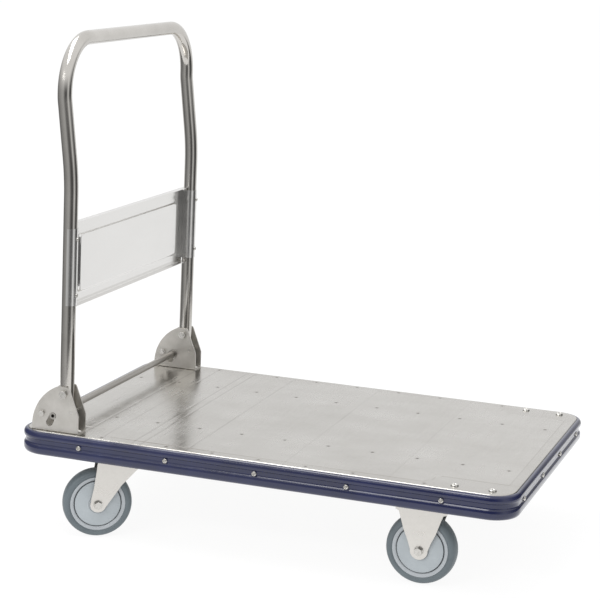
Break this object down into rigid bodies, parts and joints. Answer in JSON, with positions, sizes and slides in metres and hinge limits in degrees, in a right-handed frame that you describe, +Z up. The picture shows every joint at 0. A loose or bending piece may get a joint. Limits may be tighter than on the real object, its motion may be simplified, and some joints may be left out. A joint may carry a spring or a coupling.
{
  "type": "folding platform cart",
  "caption": "Flat-deck hand cart: stainless deck with a blue bumper on swivel and rigid casters, and a U-shaped handle with a cross panel that folds down.",
  "frame": {"origin": "on the floor under the middle of the deck", "axes": "+X the way the cart is pushed, with the handle at the -X end; +Y to the cart's left; +Z up"},
  "size_m": [0.915, 0.613, 0.8997],
  "materials": {
    "deck_stainless": "satin",
    "panel_stainless": "satin",
    "tube_stainless": "polished",
    "bracket_stainless": "satin",
    "channel_steel": "satin",
    "bright_fastener": "bright",
    "bumper_vinyl": "semi-gloss vinyl",
    "grey_rubber": "matte",
    "rim_plastic": "satin",
    "cover_plastic": "satin",
    "black_plastic": "matte",
    "bush_brass": "plain"
  },
  "bodies": {
    "chassis": {"axle_bolts_front": "bright_fastener", "axle_nuts_front": "bright_fastener", "axle_sleeves_front": "bright_fastener", "bracket_bolts": "bright_fastener", "bumper": "bumper_vinyl", "bumper_screws": "bright_fastener", "caster_bolts": "bright_fastener", "caster_nuts": "bright_fastener", "cross_channel_front": "channel_steel", "cross_channel_rear": "channel_steel", "deck_bolts": "bright_fastener", "deck_nuts": "bright_fastener", "deck_panel": "deck_stainless", "deck_rail_left": "channel_steel", "deck_rail_right": "channel_steel", "hinge_bracket_left": "bracket_stainless", "hinge_bracket_right": "bracket_stainless", "hinge_nuts": "bright_fastener", "kingpins": "bright_fastener", "lock_springs": "bright_fastener", "pivot_bolts": "bright_fastener", "rigid_fork_front_left": "bracket_stainless", "rigid_fork_front_right": "bracket_stainless", "spring_bolts": "bright_fastener", "spring_sleeves": "bright_fastener", "stop_pins": "bright_fastener", "swivel_balls": "bright_fastener", "swivel_plate_rear_left": "bracket_stainless", "swivel_plate_rear_right": "bracket_stainless"},
    "handle": {"handle_tube": "tube_stainless", "handle_panel": "panel_stainless", "panel_screws": "bright_fastener", "pivot_bushes": "bush_brass", "tube_plugs": "black_plastic"},
    "lock_bar": {"lock_bar": "tube_stainless", "lock_bar_collars": "tube_stainless"},
    "wheel_rear_left": {"tyre_rear_left": "grey_rubber", "wheel_core_rear_left": "rim_plastic", "hub_covers_rear_left": "cover_plastic", "wheel_bearings_rear_left": "bright_fastener"},
    "wheel_rear_right": {"tyre_rear_right": "grey_rubber", "wheel_core_rear_right": "rim_plastic", "hub_covers_rear_right": "cover_plastic", "wheel_bearings_rear_right": "bright_fastener"},
    "wheel_front_left": {"tyre_front_left": "grey_rubber", "wheel_core_front_left": "rim_plastic", "hub_covers_front_left": "cover_plastic", "wheel_bearings_front_left": "bright_fastener"},
    "wheel_front_right": {"tyre_front_right": "grey_rubber", "wheel_core_front_right": "rim_plastic", "hub_covers_front_right": "cover_plastic", "wheel_bearings_front_right": "bright_fastener"},
    "swivel_rear_left": {"swivel_fork_rear_left": "bracket_stainless", "axle_bolt_rear_left": "bright_fastener", "axle_nut_rear_left": "bright_fastener", "axle_sleeve_rear_left": "bright_fastener"},
    "swivel_rear_right": {"swivel_fork_rear_right": "bracket_stainless", "axle_bolt_rear_right": "bright_fastener", "axle_nut_rear_right": "bright_fastener", "axle_sleeve_rear_right": "bright_fastener"}
  },
  "joints": [
    {"name": "handle_fold", "type": "hinge", "parent": "chassis", "child": "handle", "pos_m": [-0.3685, 0, 0.2645], "axis": [0, 1, 0], "range_deg": [0, 96]},
    {"name": "lock_release", "type": "slide", "parent": "chassis", "child": "lock_bar", "axis": [-0.4462, 0, -0.8949], "range_m": [0, 0.0146], "stiffness_N_per_m": 600, "springref_m": -0.03, "deforming": ["lock_springs"]},
    {"name": "swivel_rear_left", "type": "hinge", "parent": "chassis", "child": "swivel_rear_left", "pos_m": [-0.285, 0.23, 0.146], "axis": [0, 0, 1], "continuous": true},
    {"name": "swivel_rear_right", "type": "hinge", "parent": "chassis", "child": "swivel_rear_right", "pos_m": [-0.285, -0.23, 0.146], "axis": [0, 0, 1], "continuous": true},
    {"name": "wheel_spin_rear_left", "type": "hinge", "parent": "swivel_rear_left", "child": "wheel_rear_left", "pos_m": [-0.323, 0.23, 0.0625], "axis": [0, 1, 0], "continuous": true},
    {"name": "wheel_spin_rear_right", "type": "hinge", "parent": "swivel_rear_right", "child": "wheel_rear_right", "pos_m": [-0.31791, -0.249, 0.0625], "axis": [-0.5, 0.866, 0], "continuous": true},
    {"name": "wheel_spin_front_left", "type": "hinge", "parent": "chassis", "child": "wheel_front_left", "pos_m": [0.285, 0.23, 0.0625], "axis": [0, 1, 0], "continuous": true},
    {"name": "wheel_spin_front_right", "type": "hinge", "parent": "chassis", "child": "wheel_front_right", "pos_m": [0.285, -0.23, 0.0625], "axis": [0, 1, 0], "continuous": true}
  ]
}
